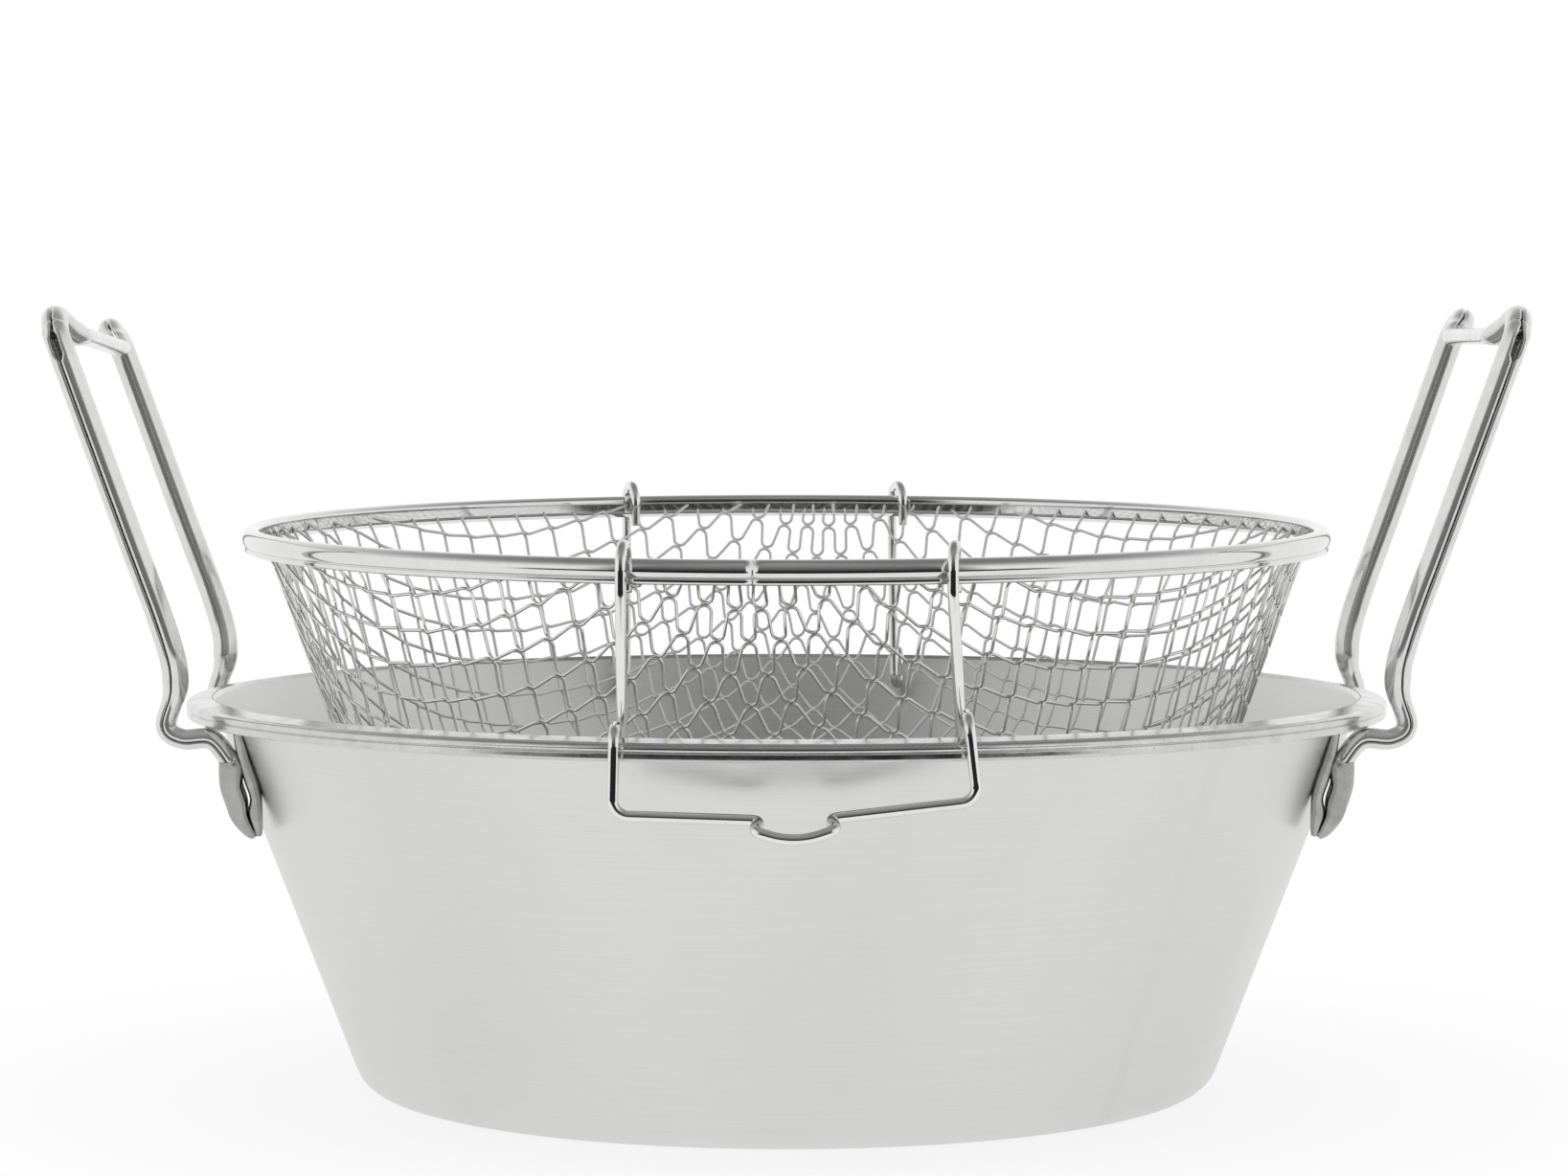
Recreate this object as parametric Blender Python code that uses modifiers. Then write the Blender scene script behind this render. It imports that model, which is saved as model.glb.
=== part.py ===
"""Deep fry pot with a wire basket.

The basket hangs above the pot in its draining place: its two wire handles hook over the pot's rolled rim.
Metres, +Z up, origin at the middle of the pot's flat bottom. The pot's own handles stand on -X and +X,
the basket's handles on -Y (front) and +Y (rear).
"""

import bmesh
import bpy
from math import acos, asin, atan2, cos, hypot, pi, radians, sin, sqrt, tan
from mathutils import Matrix, Vector

# Pot body
POT_HEIGHT = 0.0956
POT_WALL = 0.0009
BASE_FLAT_RADIUS = 0.0970
BASE_CORNER_RADIUS = 0.0085
WALL_LEAN = radians(20.9)

# Rolled rim, a bead turned outwards
RIM_OVERHANG = 0.0062
RIM_HEIGHT = 0.0045
RIM_SHOULDER_DROP = 0.0010
RIM_TUCK = 0.0010
RIM_ROUND = 0.0010

# Pot handles, rolled from sheet strip into a tube
TUBE_DIAMETER = 0.0062
HANDLE_RISE = 0.0940
LEG_SPREAD_FOOT = 0.0880
LEG_SPREAD_RIM = 0.0990
LEG_SPREAD_TOP = 0.1070
EAR_OUT = 0.0252
LEG_NECK_INSET = 0.0028
LEG_NECK_RISE = 0.0054
LEG_STRAIGHT_INSET = 0.0009
LEG_STRAIGHT_RISE = 0.0169
RIM_LOOP_GAP = 0.0053
LOOP_DROP = 0.0040
LOOP_LOW_REACH = 0.0060
LOOP_LOW_RISE = 0.0008
UNDER_RIM_GAP = 0.0004
CROSSBAR_SAG = 0.0040
CROSSBAR_INSET = 0.0037
EAR_RADIUS = 0.0085
LEG_INSERT = 0.0070
LEFT_REAR_EAR_DROP = 0.0025

# Shares along a leg and its crossbar where the tube's line is steered
LOW_WIDTH_SHARE = 0.78
SOCKET_LEAD_SHARE = 0.15
STRAIGHT_SPLAY_SHARE = 0.4
MID_STRAIGHT_SHARE = 0.4
BAR_START_SHARE = 2.35
BAR_EVEN_SHARE = 3.2

# Sockets that hold the legs' lower ends against the wall
SOCKET_FIT = 0.0006
SOCKET_WALL = 0.0010
SOCKET_DROP = 0.0126
SOCKET_LENGTH = 0.0190
SOCKET_SLIT = 0.0016
SOCKET_SLIT_LENGTH = 0.0125

# A socket's places along its length, and its widths there
SOCKET_PLACE_SHARES = [0, 0.3, 0.6, 0.78, 0.92, 1]
SOCKET_WIDTH_SHARES = [1, 1, 0.96, 0.82, 0.58, 0.3]
BORE_END_SHARE = 0.74
BORE_WIDTH_SHARES = [1, 1, 0.94, 0.72]

# Basket ring, rolled from sheet
RING_MOUTH_GAP = 0.0064
RING_WIDTH = 0.0044
RING_HEIGHT = 0.0060
RING_ROUND = 0.0018
RING_INNER_RISE = 0.0010
RING_RISE = 0.0390
BASKET_TILT = radians(1.25)

# Basket net, a flat wire net pressed into a bowl
NET_EDGE_INSET = 0.0032
NET_TOP_INSET = 0.0072
NET_DEPTH = 0.0620
NET_LEAN = radians(19.5)
NET_CORNER_RADIUS = 0.0250
NET_CELL = 0.0175
NET_STRUT = 0.0012
NET_CUT_SHARE = 0.93

# Basket handles, bent wire
WIRE_DIAMETER = 0.0025
EYE_SPREAD = 0.0720
EYE_SIDE_SHIFT = 0.0024
EYE_TAIL = 0.0055
HOOK_SPREAD = 0.0760
HOOK_SIDE_SHIFT = 0.0017
HOOK_LOW_RADIUS = 0.0022
HOOK_DEPTH = 0.0050
HOOK_INNER_GAP = 0.0032
HOOK_OUTER_GAP = 0.0005
HOOK_BEND_RADIUS = 0.0034
BAR_BEND_RADIUS = 0.0034
DIP_WIDTH = 0.0210
DIP_DEPTH = 0.0062
DIP_REACH = 0.0035
DIP_BEND_RADIUS = 0.0026
EYE_BEND_SHARE = 0.94
HOOK_LOW_SHARE = 0.98
DIP_FOOT_SHARE = 0.62
DIP_SHOULDER_SHARE = 0.4

# The two basket handles differ a little, as hand-bent wire does
FRONT_LEFT_DROP = 0.0159
FRONT_RIGHT_DROP = 0.0129
FRONT_RIGHT_HOOK_RISE = 0.0030
FRONT_DIP_SHIFT = 0.0018
REAR_DROP = 0.0145
REAR_HANDLE_TURN = radians(3.2)

# Fits
SEAT_GAP = 0.0003
EYE_CLEARANCE = 0.0003
CUTTER_OVERRUN = 0.0020
MERGE_DISTANCE = 0.00001

# Counts of facets
TURN_STEPS = 64
CORNER_STEPS = 3
TUBE_RESOLUTION = 1
WIRE_RESOLUTION = 1
SOCKET_RESOLUTION = 2
DRUM_STEPS = 24

COLLECTION_NAME = "deep_fry_pot_with_basket"


def make_collection(name):
    """A new collection linked to the scene."""
    collection = bpy.data.collections.new(name)
    bpy.context.scene.collection.children.link(collection)
    return collection


def make_material(name, colour, roughness):
    """A metal with one colour and roughness."""
    material = bpy.data.materials.new(name)
    material.use_nodes = True
    shader = material.node_tree.nodes["Principled BSDF"]
    shader.inputs["Base Color"].default_value = (*colour, 1.0)
    shader.inputs["Roughness"].default_value = roughness
    shader.inputs["Metallic"].default_value = 1.0
    return material


def link_object(name, data, collection, material=None, parent=None):
    """An object for the data, in the collection, with its material and parent."""
    made = bpy.data.objects.new(name, data)
    collection.objects.link(made)
    if material:
        data.materials.append(material)
    made.parent = parent
    return made


def make_empty(name, collection, location, parent=None):
    """An empty that marks a joint's axis or carries a group of pieces."""
    empty = bpy.data.objects.new(name, None)
    empty.location = location
    empty.parent = parent
    collection.objects.link(empty)
    return empty


def rounded_path(corners, bend_radii, steps):
    """The corner points with each inner corner replaced by an arc of its radius."""
    corners = [Vector(corner) for corner in corners]
    path = [corners[0]]
    for before, corner, after, radius in zip(corners, corners[1:], corners[2:], bend_radii):
        towards = (before - corner).normalized()
        onwards = (after - corner).normalized()
        turn = pi - acos(max(-1.0, min(1.0, towards.dot(onwards))))
        if radius == 0 or turn < radians(1):
            path.append(corner)
            continue
        reach = radius * tan(turn / 2)
        start = corner + towards * reach
        middle = corner + (towards + onwards).normalized() * (radius / cos(turn / 2))
        arm = start - middle
        axis = onwards.cross(towards).normalized()
        for step in range(steps + 1):
            path.append(middle + Matrix.Rotation(turn * step / steps, 4, axis) @ arm)
    path.append(corners[-1])
    return path


def smooth_point(a, b, c, d, share):
    """The point this share of the way from b to c, on a smooth curve that runs from a to d."""
    line = (c - a) * share
    square = (2 * a - 5 * b + 4 * c - d) * share**2
    cube = (3 * b - 3 * c + d - a) * share**3
    return b + (line + square + cube) / 2


def smooth_path(points, steps):
    """Points along a smooth curve that passes through every given point, evenly shared out between them."""
    points = [Vector(point) for point in points]
    ends = [2 * points[0] - points[1]] + points + [2 * points[-1] - points[-2]]
    path = []
    for a, b, c, d in zip(ends, ends[1:], ends[2:], ends[3:]):
        for step in range(steps):
            path.append(smooth_point(a, b, c, d, step / steps))
    path.append(points[-1])
    return path


def make_turned(name, section, collection, material, parent=None):
    """A profile of (radius, height) points turned round Z. Its outer side runs from top to bottom."""
    mesh = bpy.data.meshes.new(name)
    mesh.from_pydata(section, [(i, i + 1) for i in range(len(section) - 1)], [])
    turned = link_object(name, mesh, collection, material, parent)
    screw = turned.modifiers.new("Turn", "SCREW")
    screw.axis = "Z"
    screw.steps = TURN_STEPS
    screw.render_steps = TURN_STEPS
    screw.use_merge_vertices = True
    screw.merge_threshold = MERGE_DISTANCE
    screw.use_smooth_shade = True
    return turned


def make_wire(name, path, diameter, resolution, collection, material=None, parent=None, shares=None):
    """A round wire or tube along the path. The shares thin it point by point."""
    data = bpy.data.curves.new(name, "CURVE")
    data.dimensions = "3D"
    data.bevel_depth = diameter / 2
    data.bevel_resolution = resolution
    data.use_fill_caps = True
    data.twist_mode = "MINIMUM"
    spline = data.splines.new("POLY")
    spline.points.add(len(path) - 1)
    for index, point in enumerate(path):
        spline.points[index].co = (*point, 1.0)
        spline.points[index].radius = shares[index] if shares else 1.0
    return link_object(name, data, collection, material, parent)


def mesh_from_curve(curve_object):
    """The curve as a closed mesh object under the same name, so that a Boolean can use it."""
    bpy.context.view_layer.update()
    graph = bpy.context.evaluated_depsgraph_get()
    mesh = bpy.data.meshes.new_from_object(curve_object.evaluated_get(graph))
    shape = bmesh.new()
    shape.from_mesh(mesh)
    bmesh.ops.remove_doubles(shape, verts=shape.verts, dist=MERGE_DISTANCE)
    bmesh.ops.recalc_face_normals(shape, faces=shape.faces)
    shape.to_mesh(mesh)
    shape.free()
    name = curve_object.name
    collection = curve_object.users_collection[0]
    parent = curve_object.parent
    place = curve_object.matrix_world.copy()
    bpy.data.objects.remove(curve_object)
    made = link_object(name, mesh, collection, parent=parent)
    made.matrix_world = place
    mesh.shade_smooth()
    return made


def hide_cutter(cutter):
    """A cutter is drawn as wire and left out of the model."""
    cutter.hide_render = True
    cutter.display_type = "WIRE"


def cut_from(target, cutter):
    """Takes the cutter's shape out of the target."""
    boolean = target.modifiers.new(cutter.name, "BOOLEAN")
    boolean.operation = "DIFFERENCE"
    boolean.solver = "EXACT"
    boolean.object = cutter


def base_corner_radius():
    """Radius of the sharp corner where the wall's outer line would meet the floor."""
    return BASE_FLAT_RADIUS + BASE_CORNER_RADIUS * tan((pi / 2 - WALL_LEAN) / 2)


def wall_radius(height):
    """Outer radius of the pot's wall at a height above the floor."""
    return base_corner_radius() + height * tan(WALL_LEAN)


def mouth_radius():
    """Inner radius of the pot at its top."""
    return wall_radius(POT_HEIGHT) - POT_WALL / cos(WALL_LEAN)


def rim_radius():
    """Outer radius of the rolled rim."""
    return wall_radius(POT_HEIGHT) + RIM_OVERHANG


def make_pot(collection, material):
    """One pressed sheet: flat bottom, rounded corner, leaning wall and a rolled rim."""
    corner_tangent_share = tan((pi / 2 - WALL_LEAN) / 2)
    inner_corner_radius = BASE_CORNER_RADIUS - POT_WALL
    inner_corner = base_corner_radius() - POT_WALL * corner_tangent_share
    rim_bottom = POT_HEIGHT - RIM_HEIGHT
    corners = [
        (0, 0, POT_WALL),
        (inner_corner, 0, POT_WALL),
        (mouth_radius(), 0, POT_HEIGHT),
        (rim_radius(), 0, POT_HEIGHT - RIM_SHOULDER_DROP),
        (rim_radius() - RIM_TUCK, 0, rim_bottom),
        (wall_radius(rim_bottom), 0, rim_bottom),
        (base_corner_radius(), 0, 0),
        (0, 0, 0),
    ]
    bend_radii = [inner_corner_radius, RIM_ROUND, RIM_ROUND, RIM_ROUND, POT_WALL / 2, BASE_CORNER_RADIUS]
    section = rounded_path(corners, bend_radii, CORNER_STEPS)
    return make_turned("pot_body", section, collection, material)


def socket_bore():
    """Inner diameter of a socket, which the leg's narrower low end goes into with a fit gap."""
    return TUBE_DIAMETER * LOW_WIDTH_SHARE + 2 * SOCKET_FIT


def socket_diameter():
    """Outer diameter of a socket."""
    return socket_bore() + 2 * SOCKET_WALL


def socket_top():
    """Height of the sockets' mouths, below the rim."""
    return POT_HEIGHT - SOCKET_DROP


def foot_point(height, side_y):
    """Centre of a leg's foot on the wall's outer side, at a height and a distance from the XZ plane."""
    stand_off = (socket_diameter() / 2 + SEAT_GAP) / cos(WALL_LEAN)
    reach = wall_radius(height) + stand_off
    return Vector((sqrt(reach**2 - side_y**2), side_y, height))


def foot_line(side):
    """A socket's mouth and its lower end on the +X handle. The lower end stands closer to the XZ plane."""
    mouth = foot_point(socket_top(), side * LEG_SPREAD_RIM / 2)
    return mouth, foot_point(socket_top() - SOCKET_LENGTH, side * LEG_SPREAD_FOOT / 2)


def rim_point(reach, side_y, height):
    """A point at a distance from the pot's axis, on the +X side."""
    return Vector((sqrt(reach**2 - side_y**2), side_y, height))


def ear_height():
    """Height of the tube's centre line at the handles' highest places."""
    return POT_HEIGHT + HANDLE_RISE - TUBE_DIAMETER / 2


def leg_route(side, drop):
    """A leg's centre line on the +X handle, from its foot in the socket over the ear to the crossbar."""
    low_radius = TUBE_DIAMETER * LOW_WIDTH_SHARE / 2
    rim_y = side * LEG_SPREAD_RIM / 2
    top_y = side * LEG_SPREAD_TOP / 2
    straight_y = rim_y + (top_y - rim_y) * STRAIGHT_SPLAY_SHARE
    loop_height = POT_HEIGHT - LOOP_DROP
    under_rim = POT_HEIGHT - RIM_HEIGHT - UNDER_RIM_GAP - low_radius
    mouth, lower_end = foot_line(side)
    foot_end = mouth.lerp(lower_end, LEG_INSERT / SOCKET_LENGTH)
    out_of_socket = mouth.lerp(foot_end, -SOCKET_LEAD_SHARE)
    under = rim_point(rim_radius() - RIM_HEIGHT / 2, rim_y, under_rim)
    loop_low = rim_point(rim_radius() + LOOP_LOW_REACH, rim_y, under_rim + LOOP_LOW_RISE)
    loop = rim_point(rim_radius() + RIM_LOOP_GAP + TUBE_DIAMETER / 2, rim_y, loop_height)
    neck = Vector((rim_radius() - LEG_NECK_INSET, rim_y, POT_HEIGHT + LEG_NECK_RISE))
    straight_height = POT_HEIGHT + LEG_STRAIGHT_RISE
    straight = Vector((rim_radius() - LEG_STRAIGHT_INSET, straight_y, straight_height))
    ear = Vector((rim_radius() + EAR_OUT, top_y, ear_height() - drop))
    base = ear.lerp(straight, EAR_RADIUS / (ear.z - straight.z))
    base.y = top_y
    across = Vector((0, -side * EAR_RADIUS, 0))
    shoulder = ear.lerp(base, 1 - sin(pi / 4)) + across * (1 - cos(pi / 4))
    far_shoulder = shoulder + across * 2 * cos(pi / 4)
    inwards = Vector((-CROSSBAR_INSET, 0, -CROSSBAR_SAG))
    bar = [ear + across * share + inwards for share in (BAR_START_SHARE, BAR_EVEN_SHARE)]
    far_shoulder.x = (ear.x + bar[0].x) / 2
    low = [foot_end, mouth, out_of_socket, under, loop_low, loop, neck]
    leg = [straight, straight.lerp(base, MID_STRAIGHT_SHARE), base]
    return low + leg + [shoulder, ear + across, far_shoulder] + bar


def make_pot_handle(name, outward, rear_drop, collection, material):
    """One rolled tube: two legs that pass round the rim, and a crossbar a little lower than their ears."""
    path = smooth_path(leg_route(-1, 0) + leg_route(1, rear_drop)[::-1], CORNER_STEPS)
    if outward < 0:
        path = [Vector((-point.x, point.y, point.z)) for point in path][::-1]
    shares = [LOW_WIDTH_SHARE if point.z < POT_HEIGHT else 1 for point in path]
    return make_wire(name, path, TUBE_DIAMETER, TUBE_RESOLUTION, collection, material, shares=shares)


def make_socket(name, outward, side, parts, cutters, material):
    """A rolled sleeve on the wall, open at the top, pinched at the bottom and slit down its outer face."""
    flip = Vector((outward, 1, 1))
    top, bottom = (point * flip for point in foot_line(side))
    path = [top.lerp(bottom, share) for share in SOCKET_PLACE_SHARES]
    wire = make_wire(name, path, socket_diameter(), SOCKET_RESOLUTION, parts, shares=SOCKET_WIDTH_SHARES)
    sleeve = mesh_from_curve(wire)
    sleeve.data.materials.append(material)
    over = top.lerp(bottom, -CUTTER_OVERRUN / SOCKET_LENGTH)
    bore_path = [over, path[1], path[2], top.lerp(bottom, BORE_END_SHARE)]
    bore_name = name + "_bore"
    wire = make_wire(bore_name, bore_path, socket_bore(), SOCKET_RESOLUTION, cutters, shares=BORE_WIDTH_SHARES)
    hollow = mesh_from_curve(wire)
    hide_cutter(hollow)
    cut_from(sleeve, hollow)
    cut_from(sleeve, make_slit_cutter(name + "_slit", top, bottom, cutters))


def make_slit_cutter(name, top, bottom, cutters):
    """A thin upright block that opens the socket's outer face."""
    along = (bottom - top).normalized()
    outwards = Vector((top.x, top.y, 0)).normalized()
    outwards = (outwards - along * outwards.dot(along)).normalized()
    across = along.cross(outwards)
    length = SOCKET_SLIT_LENGTH + CUTTER_OVERRUN
    middle = top + along * (length / 2 - CUTTER_OVERRUN) + outwards * (socket_diameter() / 2)
    mesh = bpy.data.meshes.new(name)
    block = bmesh.new()
    bmesh.ops.create_cube(block, size=1.0)
    bmesh.ops.scale(block, vec=(socket_diameter(), SOCKET_SLIT, length), verts=block.verts)
    block.to_mesh(mesh)
    block.free()
    cutter = link_object(name, mesh, cutters)
    turn = Matrix((outwards, across, along)).transposed().to_4x4()
    cutter.matrix_world = Matrix.Translation(middle) @ turn
    hide_cutter(cutter)
    return cutter


def ring_radius():
    """Outer radius of the ring, which goes into the pot's mouth with a gap."""
    return mouth_radius() - RING_MOUTH_GAP


def ring_level():
    """Height of the ring's middle while the basket hangs in its draining place."""
    return POT_HEIGHT + RING_RISE


def ring_middle_radius():
    """Radius of the circle through the middle of the ring's section."""
    return ring_radius() - RING_WIDTH / 2


def make_basket_ring(collection, material, parent):
    """A rolled hoop with a tall outer face and a shorter inner one, which grips the net's edge."""
    outer = ring_radius()
    inner = outer - RING_WIDTH
    half = RING_HEIGHT / 2
    corners = [
        (ring_middle_radius(), 0, half),
        (outer, 0, half),
        (outer, 0, -half),
        (inner, 0, -half + RING_INNER_RISE),
        (inner, 0, half),
        (ring_middle_radius(), 0, half),
    ]
    section = rounded_path(corners, [RING_ROUND] * 4, CORNER_STEPS)
    ring = make_turned("basket_ring", section[:-1], collection, material, parent)
    close_section(ring.data)
    return ring


def close_section(mesh):
    """Joins the last point of a profile to its first."""
    mesh.edges.add(1)
    mesh.edges[-1].vertices = (len(mesh.vertices) - 1, 0)


def net_place(u, v):
    """Where a point of the flat net lies once it is pressed into the bowl, from the ring's middle level."""
    top_radius = ring_radius() - NET_TOP_INSET
    top_height = -RING_HEIGHT / 2 - SEAT_GAP - NET_STRUT / 2
    turn = pi / 2 - NET_LEAN
    sharp_radius = top_radius - NET_DEPTH * tan(NET_LEAN)
    flat = sharp_radius - NET_CORNER_RADIUS * tan(turn / 2)
    bend = NET_CORNER_RADIUS * turn
    distance = hypot(u, v)
    if distance <= flat:
        radius, height = distance, 0
    elif distance <= flat + bend:
        angle = (distance - flat) / NET_CORNER_RADIUS
        radius = flat + NET_CORNER_RADIUS * sin(angle)
        height = NET_CORNER_RADIUS * (1 - cos(angle))
    else:
        run = distance - flat - bend
        radius = flat + NET_CORNER_RADIUS * sin(turn) + run * sin(NET_LEAN)
        height = NET_CORNER_RADIUS * (1 - cos(turn)) + run * cos(NET_LEAN)
    heading = atan2(v, u)
    return Vector((radius * cos(heading), radius * sin(heading), top_height - NET_DEPTH + height))


def net_reach():
    """Radius of the flat net before it is pressed."""
    turn = pi / 2 - NET_LEAN
    wall_length = NET_DEPTH / cos(NET_LEAN) - NET_CORNER_RADIUS * tan(turn / 2)
    sharp_radius = ring_radius() - NET_TOP_INSET - NET_DEPTH * tan(NET_LEAN)
    return sharp_radius - NET_CORNER_RADIUS * tan(turn / 2) + NET_CORNER_RADIUS * turn + wall_length


def make_basket_net(collection, material, parent):
    """A flat net of square cells, pressed into the bowl, with a wire along each cell edge and a flared top."""
    reach = net_reach()
    count = 2 * round(reach * sqrt(2) / NET_CELL)
    shape = bmesh.new()
    bmesh.ops.create_grid(shape, x_segments=count, y_segments=count, size=count * NET_CELL / 2)
    bmesh.ops.rotate(shape, verts=shape.verts, matrix=Matrix.Rotation(pi / 4, 3, "Z"))
    kept_reach = reach * NET_CUT_SHARE
    outside = [face for face in shape.faces if face.calc_center_median().length > kept_reach]
    bmesh.ops.delete(shape, geom=outside, context="FACES")
    edge_share = (ring_radius() - NET_EDGE_INSET) / (ring_radius() - NET_TOP_INSET)
    for vert in shape.verts:
        if vert.is_boundary:
            vert.co = vert.co.normalized() * reach
        vert.co = net_place(vert.co.x, vert.co.y)
        if vert.is_boundary:
            vert.co.xy *= edge_share
    mesh = bpy.data.meshes.new("basket_net")
    shape.to_mesh(mesh)
    shape.free()
    net = link_object("basket_net", mesh, collection, material, parent)
    wires = net.modifiers.new("Wires", "WIREFRAME")
    wires.thickness = NET_STRUT
    wires.use_replace = True
    wires.use_even_offset = False
    wires.use_boundary = True
    wires.offset = 0
    return net


def eye_radius():
    """Radius of the eye that a handle's wire makes round the ring, clear of the ring as it turns."""
    slope = EYE_SPREAD / 2 / ring_middle_radius()
    half_width = RING_WIDTH / 2 - RING_ROUND
    half_height = RING_HEIGHT / 2 - RING_ROUND
    section_reach = hypot(half_width, half_height) + RING_ROUND
    return section_reach / cos(asin(slope)) + WIRE_DIAMETER / 2 * (1 + slope) + EYE_CLEARANCE


def eye_axis_distance():
    """How far in front of or behind the pot's middle a handle's hinge axis lies."""
    return sqrt(ring_middle_radius() ** 2 - (EYE_SPREAD / 2) ** 2)


def eye_axis(side):
    """The middle of the front (-1) or rear (+1) handle's hinge axis. The tilted basket lifts the rear one."""
    distance = side * eye_axis_distance()
    return Vector((0, distance * cos(BASKET_TILT), ring_level() + distance * sin(BASKET_TILT)))


def make_hinge(name, side, turn, collection):
    """An empty on a handle's hinge axis, turned about the pot's middle as the handle is."""
    hinge = make_empty(name, collection, Matrix.Rotation(turn, 3, "Z") @ eye_axis(side))
    hinge.rotation_euler = (0, 0, turn)
    return hinge


def handle_leg(axis, left_right, hook_rise, drop):
    """One side of a front handle: tail, eye round the ring, drop inside the rim, hook over it, outer leg."""
    wire = WIRE_DIAMETER / 2
    radius = eye_radius()
    eye_x = left_right * EYE_SPREAD / 2
    hook_x = left_right * HOOK_SPREAD / 2
    rise_y = -(sqrt(mouth_radius() ** 2 - hook_x**2) - HOOK_INNER_GAP - wire)
    drop_y = rise_y + 2 * HOOK_LOW_RADIUS
    outer_y = -(sqrt((rim_radius() + HOOK_OUTER_GAP + wire) ** 2 - hook_x**2))
    top = POT_HEIGHT + SEAT_GAP + wire + hook_rise
    turn_bottom = POT_HEIGHT - HOOK_DEPTH - HOOK_LOW_RADIUS
    bar = POT_HEIGHT - drop
    tail_end = axis + Vector((eye_x + EYE_SIDE_SHIFT, radius, -EYE_TAIL))
    eye_top_in = axis + Vector((eye_x + EYE_SIDE_SHIFT, radius, radius))
    eye_top_out = axis + Vector((eye_x, -radius, radius))
    corners = [
        tail_end,
        eye_top_in,
        eye_top_out,
        axis + Vector((eye_x, -radius, -radius)),
        (hook_x - left_right * HOOK_SIDE_SHIFT, drop_y, turn_bottom),
        (hook_x, rise_y, turn_bottom),
        (hook_x, rise_y, top),
        (hook_x, outer_y, top),
        (hook_x, outer_y, bar),
    ]
    eye_bend = radius * EYE_BEND_SHARE
    hook_low = HOOK_LOW_RADIUS * HOOK_LOW_SHARE
    bends = [eye_bend, eye_bend, radius, hook_low, hook_low, HOOK_BEND_RADIUS, HOOK_BEND_RADIUS]
    return corners, bends


def make_basket_handle(name, side, legs, dip_shift, collection, material, parent):
    """A wire handle: two hooked legs and a grip bar that dips in its middle. The rear one is made reversed."""
    axis = eye_axis(-1)
    axis.z = eye_axis(side).z
    left, left_bends = handle_leg(axis, -1, *legs[0])
    right, right_bends = handle_leg(axis, 1, *legs[1])
    bar_y = left[-1][1]
    bar_mean = (left[-1][2] + right[-1][2]) / 2
    dip_y = bar_y - DIP_REACH
    half_width = DIP_WIDTH / 2
    half_foot = half_width * DIP_FOOT_SHARE
    shoulder_height = bar_mean - DIP_DEPTH * DIP_SHOULDER_SHARE
    dip = [
        (dip_shift - half_width, bar_y, shoulder_height),
        (dip_shift - half_foot, dip_y, bar_mean - DIP_DEPTH),
        (dip_shift + half_foot, dip_y, bar_mean - DIP_DEPTH),
        (dip_shift + half_width, bar_y, shoulder_height),
    ]
    corners = left + dip + right[::-1]
    bends = left_bends + [BAR_BEND_RADIUS] + [DIP_BEND_RADIUS] * 4 + [BAR_BEND_RADIUS] + right_bends[::-1]
    path = [point - axis for point in rounded_path(corners, bends, CORNER_STEPS)]
    if side > 0:
        path = [Vector((point.x, -point.y, point.z)) for point in path]
    return make_wire(name, path, WIRE_DIAMETER, WIRE_RESOLUTION, collection, material, parent)


def make_eye_clearance(net, name, hinge, left_right, cutters):
    """A short cylinder on the hinge axis that opens the net where a handle's eye swings through it."""
    sweep = hypot(eye_radius(), EYE_TAIL) + WIRE_DIAMETER / 2 + EYE_CLEARANCE
    eye_x = left_right * EYE_SPREAD / 2 + EYE_SIDE_SHIFT / 2
    width = EYE_SIDE_SHIFT + WIRE_DIAMETER + 2 * EYE_CLEARANCE
    mesh = bpy.data.meshes.new(name)
    drum = bmesh.new()
    bmesh.ops.create_cone(drum, cap_ends=True, segments=DRUM_STEPS, radius1=sweep, radius2=sweep, depth=width)
    drum.to_mesh(mesh)
    drum.free()
    cutter = link_object(name, mesh, cutters, parent=hinge)
    cutter.location = (eye_x, 0, 0)
    cutter.rotation_euler = (0, pi / 2, 0)
    hide_cutter(cutter)
    cut_from(net, cutter)


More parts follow.
